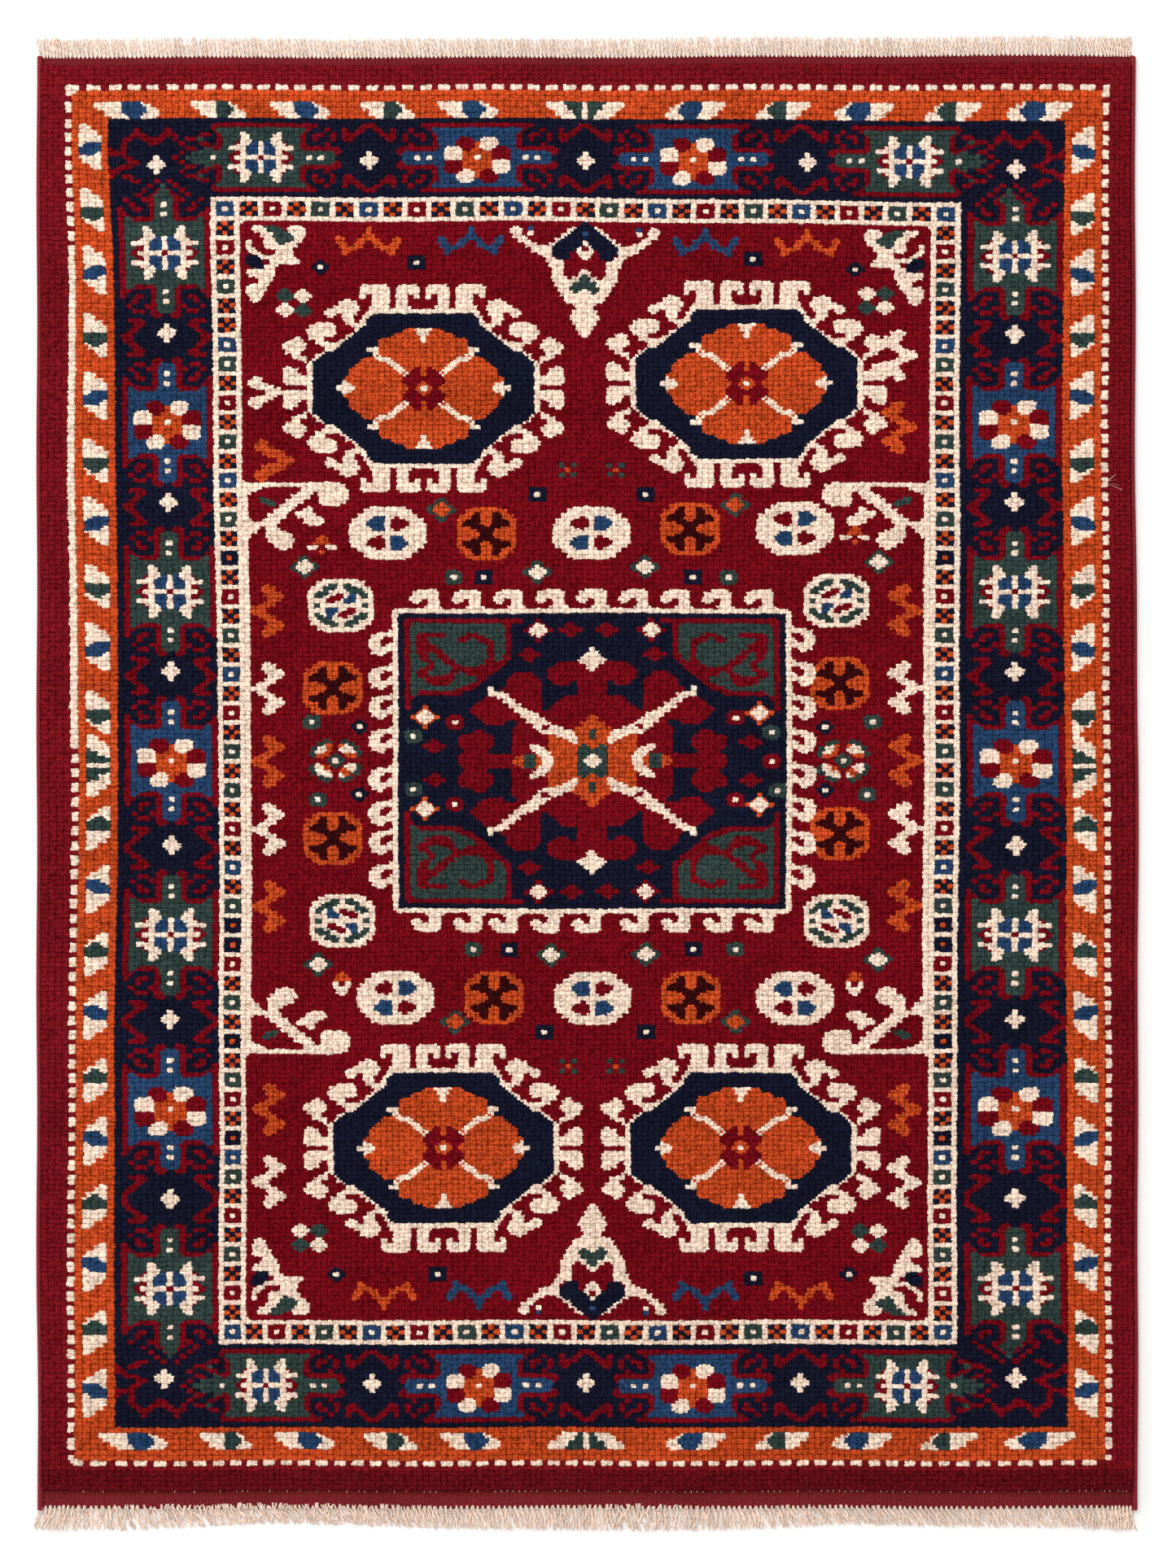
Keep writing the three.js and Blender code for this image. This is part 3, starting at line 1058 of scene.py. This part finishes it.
for part, on_side in (("_left", plan_columns <= 0), ("_right", plan_columns > 0)):
    pile("pile_centre_square", inside & on_side, part)
    pile("pile_field_upper", in_field & in_upper & on_side, part)
    pile("pile_field_middle", in_field & in_middle_top & on_side, "_top" + part)
    pile("pile_field_middle", in_field & in_middle_bottom & on_side, "_bottom" + part)
    pile("pile_field_lower", in_field & in_lower & on_side, part)

# ---------------------------------------------------------------------------------------------------------
# The foundation: cotton warps and wefts under the pile, woven as the knots are tied. On the underside every
# knot shows as a flat stitch of its own yarn, in rows.
UNDERSIDE_Z = 0.35 * MM
column_edges = across(np.arange(LEFT_COLUMN, RIGHT_COLUMN + 2) - 0.5)
row_edges = along(np.arange(TOP_ROW, BOTTOM_ROW + 2) - 0.5)
grid_x, grid_y = np.meshgrid(column_edges, row_edges)
grid_x, grid_y = woven(grid_x, grid_y)
grid_points = np.stack([grid_x, grid_y, np.full(grid_x.shape, UNDERSIDE_Z)], 2).reshape(-1, 3)
line = RIGHT_COLUMN - LEFT_COLUMN + 2
first = (np.arange(ROWS)[:, None] * line + np.arange(line - 1)).ravel()
stitches = np.stack([first, first + 1, first + line + 1, first + line], 1)
foundation_mesh, corners = mesh_from_arrays("foundation_weave", grid_points, [stitches])
yarn_numbers = [YARN_LETTERS.index(letter) for letter in plan.ravel()]
foundation_mesh.polygons.foreach_set("material_index", np.array(yarn_numbers, np.int32))
attribute(foundation_mesh, "tone", "FACE", dice.random(len(stitches)))
# The stitches take part of the painted crease shade, evenly all over.
attribute(foundation_mesh, "height", "POINT", np.full(len(grid_points), 0.6))
MAP_REACH = 2.1  # the colour map's width in half widths of the rug, a little over 2 to keep the edges inside
spread_x = grid_points[:, 0] / (MAP_REACH * half_width) + 0.5
spread_y = (grid_points[:, 1] - middle_y) / (MAP_REACH * half_length) + 0.5
spread_loops = np.stack([spread_x, spread_y], 1)[corners].astype(np.float32).ravel()
foundation_mesh.uv_layers.new(name="OFBake").data.foreach_set("uv", spread_loops)
for material in WOOLS:
    foundation_mesh.materials.append(material)
foundation = in_scene("foundation_stitches", foundation_mesh)
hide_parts("foundation_weave")
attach(foundation, "root")

# ---------------------------------------------------------------------------------------------------------
# The flat-woven ends: wine-red weft packed over the warps past the last knots, in fine upright ribs. The
# bottom end is twice as deep, with a line of pale warp specks where it meets the pile.
RIB_PITCH = 1.8 * MM


def woven_strip(node, ribs_deep, material):
    lo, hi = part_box(node)
    xs = np.arange(lo.x - 2.5 * MM, hi.x + 2.5 * MM, RIB_PITCH / 5)
    ys = np.linspace(lo.y - 0.3 * MM, hi.y + 0.3 * MM, 14)
    x, y = np.meshgrid(xs, ys)
    rib = np.cos(2 * math.pi * x / RIB_PITCH)
    z = hi.z * 0.82 + rib * ribs_deep + 0.12 * MM * np.sin(2 * math.pi * y / (1.6 * MM))
    edge = np.minimum(y - y.min(), y.max() - y)
    z = np.where(edge <= 0, 0.2 * MM, z)
    wx, wy = woven(x, y)
    points = np.stack([wx, wy, z], 2).reshape(-1, 3)
    line = len(xs)
    first = (np.arange(len(ys) - 1)[:, None] * line + np.arange(line - 1)).ravel()
    rib_faces = np.stack([first, first + 1, first + line + 1, first + line], 1)
    mesh, _ = mesh_from_arrays(node, points, [rib_faces])
    attribute(mesh, "tone", "FACE", np.random.default_rng(3).random(len(first)))
    # Painted shade in the valleys between the ribs, with full colour on the rib tops.
    attribute(mesh, "height", "POINT", (0.62 + 0.38 * rib).ravel())
    mesh.materials.append(material)
    piece = in_scene(f"{node}_weave", mesh)
    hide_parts(node)
    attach(piece, "root")
    return piece


weft_wool = wool("weft", (0.315, 0.030, 0.039), 0.25, 0.3)
kilims = [
    woven_strip("kilim_end_top", 0.45 * MM, weft_wool),
    woven_strip("kilim_end_bottom", 0.45 * MM, weft_wool),
]

# ---------------------------------------------------------------------------------------------------------
# The overcast sides: a cord of the outermost warps, wrapped over and over with wine-red wool, so that short
# ridges lie side by side all along it.
WRAP_PITCH = 2.1 * MM


def overcast_side(node):
    lo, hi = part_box(node)
    ys = np.arange(lo.y, hi.y, WRAP_PITCH / 5)
    turn_angle = np.linspace(0, 2 * math.pi, 12, endpoint=False)
    wrap = 1 + 0.07 * np.cos(2 * math.pi * ys / WRAP_PITCH)
    middle_x = (lo.x + hi.x) / 2
    radius_x = (hi.x - lo.x) / 2
    radius_z = (hi.z - lo.z) / 2
    x = middle_x + radius_x * wrap[:, None] * np.cos(turn_angle)
    z = (lo.z + hi.z) / 2 + radius_z * 0.97 * wrap[:, None] * np.sin(turn_angle)
    y = np.repeat(ys[:, None], 12, 1) + 0.4 * MM * np.sin(turn_angle)
    side_x = math.copysign(half_width, middle_x)
    edge_dx = woven(np.full(len(ys), side_x), ys)[0] - side_x
    points = np.stack([x + edge_dx[:, None], y, np.maximum(z, 0.0)], 2).reshape(-1, 3)
    ring = np.arange(12)
    first = (np.arange(len(ys) - 1) * 12)[:, None] + ring
    after = (np.arange(len(ys) - 1) * 12)[:, None] + (ring + 1) % 12
    faces = np.stack([first, after, after + 12, first + 12], 2).reshape(-1, 4)
    caps = np.stack([ring[::-1], ring + 12 * (len(ys) - 1)])
    mesh, _ = mesh_from_arrays(node, points, [faces, caps])
    attribute(mesh, "tone", "FACE", np.random.default_rng(5).random(len(faces) + 2))
    # Painted shade between the wraps, with lighter colour on each ridge.
    attribute(mesh, "height", "POINT", np.repeat(0.7 + 4 * (wrap - 1), 12))
    mesh.materials.append(weft_wool)
    piece = in_scene(f"{node}_cord", mesh)
    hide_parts(node)
    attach(piece, "root")
    return piece


sides = [overcast_side("selvedge_left"), overcast_side("selvedge_right")]

# ---------------------------------------------------------------------------------------------------------
# The fringes: the cream cotton warps, left long past the flat weave. The top one is short and neat,
# twisted in twos, and the bottom one is longer, matted and wavy, twisted in threes.
warp_cotton = wool("warp", (0.89, 0.69, 0.57), 0.16, 0.5, 0.1)
STRAND_SIDES = 6
FRINGE_PAST_KILIM = 4 * MM  # the outermost strands are the warps inside the overcast sides


def tube(points, faces, path, radii):
    """Adds one round strand along a path to a growing mesh."""
    base = len(points)
    for (x, y, z), radius in zip(path, radii):
        for side in range(STRAND_SIDES):
            angle = 2 * math.pi * side / STRAND_SIDES
            points.append((x + radius * math.cos(angle), y, max(z + radius * math.sin(angle), 0.0)))
    for step in range(len(path) - 1):
        for side in range(STRAND_SIDES):
            a = base + step * STRAND_SIDES + side
            b = base + step * STRAND_SIDES + (side + 1) % STRAND_SIDES
            faces.append((a, b, b + STRAND_SIDES, a + STRAND_SIDES))


def fringe(node, kilim, outwards, length, pitch, plies, ply_radius, lean, stray, overlap, seed):
    """Strands side by side along one end. Lean is how far they lie over to the right, and stray is how far
    they part from one another in millimetres, each from the left end of the fringe to the right."""
    lo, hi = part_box(kilim)
    root_y = hi.y if outwards > 0 else lo.y
    draw = random.Random(seed)
    steps = 12
    points, faces, tones = [], [], []
    for index in range(int((hi.x - lo.x + 2 * FRINGE_PAST_KILIM) / pitch)):
        x0 = lo.x - FRINGE_PAST_KILIM + (index + 0.5) * pitch
        lean_here = np.interp(x0 / half_width, np.linspace(-1, 1, len(lean)), lean)
        stray_here = np.interp(x0 / half_width, np.linspace(-1, 1, len(stray)), stray) * MM
        start = overlap + stray_here * draw.random() * 0.8
        for ply in range(plies):
            slope = math.atan(lean_here + draw.uniform(-0.08, 0.08))
            reach = length * draw.uniform(0.86, 1.0)
            part = draw.uniform(-stray_here, stray_here)
            phase = draw.uniform(0, 2 * math.pi)
            path, radii = [], []
            for step in range(steps + 1):
                t = step / steps
                out = -start + (reach + start) * t
                twist = 2 * math.pi * (t * 1.3 + ply / plies) + 0.5 * index
                x = x0 + ply_radius * 1.15 * math.cos(twist) * min(1.0, 0.35 + 2 * t)
                x = x + max(out, 0.0) * math.sin(slope) + part * t
                x = x + stray_here * 0.4 * math.sin(7 * t + phase)
                y = root_y + outwards * (out * math.cos(slope) if out > 0 else out)
                on_kilim = max(0.0, min(1.0, (1.5 * MM - out) / (2 * MM)))
                z = ply_radius * (1.2 + 0.7 * math.sin(twist)) + 2.2 * MM * on_kilim
                path.append((*woven(np.float64(x), np.float64(y)), z))
                radii.append(ply_radius * (1 - 0.4 * t**3) * min(1.0, 0.55 + 3 * t))
            tube(points, faces, path, radii)
            tones += [draw.random()] * (steps * STRAND_SIDES)
    mesh, _ = mesh_from_arrays(node, np.array(points), [np.array(faces)])
    attribute(mesh, "tone", "FACE", tones)
    # The strands take a little of the painted crease shade, evenly all over.
    attribute(mesh, "height", "POINT", np.full(len(points), 0.95))
    mesh.materials.append(warp_cotton)
    piece = in_scene(f"{node}_strands", mesh)
    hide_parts(node)
    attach(piece, "root")
    return piece


top_fringe = fringe(
    "fringe_top", "kilim_end_top", 1, length=16.5 * MM, pitch=knot_width * 0.7, plies=2, ply_radius=0.85 * MM,
    lean=(-0.1, -0.05, 0.0, 0.1), stray=(0.3, 0.3), overlap=1.2 * MM, seed=11,
)
bottom_fringe = fringe(
    "fringe_bottom", "kilim_end_bottom", -1,
    length=19.5 * MM, pitch=knot_width * 0.9, plies=3, ply_radius=0.95 * MM,
    lean=(-0.3, 0.5, 1.1, 0.9, 0.5, 0.3, 0.2, 0.4, 0.9, 0.8, 0.6, 0.15),
    stray=(0.8, 2.5, 4.0, 3.5, 1.5, 0.6, 3.2, 0.7, 1.6, 0.6, 0.4, 0.4), overlap=2.0 * MM, seed=13,
)

# ---------------------------------------------------------------------------------------------------------
# Loose ends: pale warp loops that show as specks where the bottom flat weave meets the pile, and one stray
# white thread that has worked out of the right guard border.
kilim_lo, kilim_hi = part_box("kilim_end_bottom")
draw = random.Random(17)
speck_points, speck_faces = [], []
for index in range(int((kilim_hi.x - kilim_lo.x) / knot_width)):
    speck_x = kilim_lo.x + (index + 0.5) * knot_width
    if draw.random() < 0.25 + 0.6 * (speck_x - kilim_lo.x) / (kilim_hi.x - kilim_lo.x):
        speck_y = kilim_hi.y - 1.2 * MM + draw.uniform(-0.2, 0.2) * MM
        arch = [(-1.0, 1.6), (-0.5, 2.5), (0.0, 2.8), (0.5, 2.5), (1.0, 1.6)]
        path = [(*woven(np.float64(speck_x), np.float64(speck_y + dy * MM)), z * MM) for dy, z in arch]
        tube(speck_points, speck_faces, path, [0.4 * MM] * len(arch))
THREAD_START = (0.4255, 0.2475)
for hair in range(4):
    bend = draw.uniform(-1, 1)
    path = []
    for step in range(13):
        t = step / 12
        hair_x = THREAD_START[0] + (5 + 8.5 * t + hair) * t * MM + 1.6 * MM * math.sin(4 * t + hair)
        hair_y = THREAD_START[1] + (2 + 9 * t * (1 - 0.45 * hair * t) + bend) * MM
        path.append((hair_x, hair_y, pile_z + (0.3 + 1.8 * t * (1 - t)) * MM))
    tube(speck_points, speck_faces, path, [0.28 * MM] * 13)
loose_mesh, _ = mesh_from_arrays("loose_ends", np.array(speck_points), [np.array(speck_faces)])
attribute(loose_mesh, "tone", "FACE", np.full(len(speck_faces), 0.7))
attribute(loose_mesh, "height", "POINT", np.ones(len(speck_points)))
loose_mesh.materials.append(warp_cotton)
loose_ends = in_scene("loose_warp_ends", loose_mesh)
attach(loose_ends, "root")
